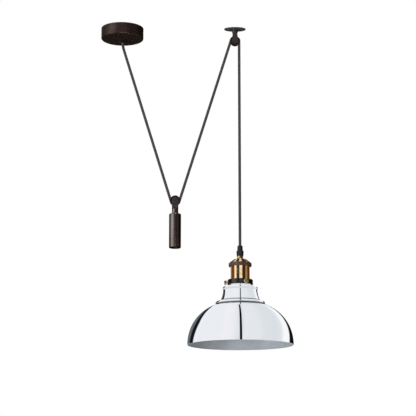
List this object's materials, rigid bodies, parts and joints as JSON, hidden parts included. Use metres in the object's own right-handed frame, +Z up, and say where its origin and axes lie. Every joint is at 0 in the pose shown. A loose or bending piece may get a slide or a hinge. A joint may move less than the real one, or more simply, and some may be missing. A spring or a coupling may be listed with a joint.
{
  "type": "rise and fall pendant",
  "caption": "Pendant lamp with a mirror dome shade whose cord runs over a ceiling pulley and under a counterweight's pulley to a ceiling canopy, so the lamp rises and falls.",
  "frame": {"origin": "centre of the canopy on the ceiling plane", "axes": "+Z up, +X from the canopy towards the ceiling pulley, -Y towards the viewer"},
  "size_m": [0.484, 0.261, 0.813],
  "materials": {
    "dark_bronze": "satin",
    "dark_wheel": "satin",
    "bright_steel": "satin",
    "dark_steel": "satin",
    "bearing_bronze": "satin",
    "black_plastic": "satin",
    "black_rubber": "matte",
    "white_plastic": "satin",
    "terminal_brass": "satin",
    "ballast": "matte",
    "polished_brass": "polished",
    "flange_bronze": "satin",
    "black_enamel": "gloss",
    "clamp_plastic": "matte",
    "phenolic": "satin",
    "mirror_aluminium": "polished",
    "textile_cord": "matte",
    "core_brown": "satin",
    "core_blue": "satin",
    "core_green": "satin"
  },
  "bodies": {
    "root": {"canopy_cup": "dark_bronze", "canopy_bracket": "bright_steel", "canopy_side_screws": "dark_steel", "canopy_cord_grip": "black_plastic", "canopy_grip_screw": "black_plastic", "canopy_grip_washer": "bright_steel", "canopy_grip_nut": "black_plastic", "terminal_block": "white_plastic", "terminal_clamps": "terminal_brass", "terminal_screws": "bright_steel", "terminal_block_screw": "bright_steel", "earth_screw": "bright_steel", "canopy_core_live": "core_brown", "canopy_core_neutral": "core_blue", "canopy_core_earth": "core_green", "pulley_plate": "dark_bronze", "pulley_plate_screw": "bright_steel", "pulley_yoke": "dark_bronze", "ceiling_axle": "dark_steel", "ceiling_axle_clip": "bright_steel", "cord_canopy_entry": "textile_cord", "cord_rise_strand": "textile_cord", "cord_middle_strand": "textile_cord", "cord_ceiling_wrap": "textile_cord", "cord_lamp_strand": "textile_cord"},
    "ceiling_wheel": {"ceiling_wheel": "dark_wheel", "ceiling_wheel_bush": "bearing_bronze"},
    "counterweight": {"weight_yoke": "dark_bronze", "weight_collar": "dark_bronze", "weight_shell": "dark_bronze", "weight_core": "ballast", "weight_bottom_cap": "dark_bronze", "weight_bottom_screw": "bright_steel", "weight_axle": "dark_steel", "weight_axle_clip": "bright_steel", "cord_weight_wrap": "textile_cord"},
    "weight_wheel": {"weight_wheel": "dark_wheel", "weight_wheel_bush": "bearing_bronze"},
    "lamp": {"lamp_grip_body": "black_plastic", "lamp_grip_collet": "black_rubber", "lamp_grip_cap": "black_plastic", "holder_cap": "polished_brass", "holder_flange_ring": "flange_bronze", "holder_shell": "polished_brass", "holder_insert": "phenolic", "socket_screw_shell": "terminal_brass", "centre_contact": "terminal_brass", "holder_terminals": "terminal_brass", "holder_terminal_screws": "terminal_brass", "lamp_core_live": "core_brown", "lamp_core_neutral": "core_blue", "lamp_core_earth": "core_green", "fitter_ring": "black_enamel", "fitter_clamp_ring": "clamp_plastic", "shade": "mirror_aluminium", "cord_lamp_tail": "textile_cord"},
    "thumb_screw_right": {"fitter_screw_right": "polished_brass"},
    "thumb_screw_back": {"fitter_screw_back": "polished_brass"},
    "thumb_screw_left": {"fitter_screw_left": "polished_brass"}
  },
  "joints": [
    {"name": "lamp_height", "type": "slide", "parent": "root", "child": "lamp", "axis": [0, 0, 1], "range_m": [-0.4, 0.22], "deforming": ["cord_lamp_strand"]},
    {"name": "weight_travel", "type": "slide", "parent": "root", "child": "counterweight", "axis": [0, 0, 1], "range_m": [-0.12, 0.216], "deforming": ["cord_rise_strand", "cord_middle_strand"]},
    {"name": "ceiling_wheel_spin", "type": "hinge", "parent": "root", "child": "ceiling_wheel", "pos_m": [0.289, 0, -0.033], "axis": [0, 1, 0], "range_deg": [-1202, 2184]},
    {"name": "weight_wheel_spin", "type": "hinge", "parent": "counterweight", "child": "weight_wheel", "pos_m": [0.13745, 0, -0.451], "axis": [0, 1, 0], "range_deg": [-1093, 602]},
    {"name": "thumb_screw_right_travel", "type": "slide", "parent": "lamp", "child": "thumb_screw_right", "axis": [0.3843, -0.9232, 0], "range_m": [0, 0.003]},
    {"name": "thumb_screw_back_travel", "type": "slide", "parent": "lamp", "child": "thumb_screw_back", "axis": [0.6074, 0.7944, 0], "range_m": [0, 0.003]},
    {"name": "thumb_screw_left_travel", "type": "slide", "parent": "lamp", "child": "thumb_screw_left", "axis": [-0.9917, 0.1288, 0], "range_m": [0, 0.003]}
  ],
  "couplings": [
    {"joint": "weight_travel", "follows": "lamp_height", "ratio": -0.535},
    {"joint": "ceiling_wheel_spin", "follows": "lamp_height", "rad_per_m": -95.238},
    {"joint": "weight_wheel_spin", "follows": "lamp_height", "rad_per_m": 47.619}
  ]
}
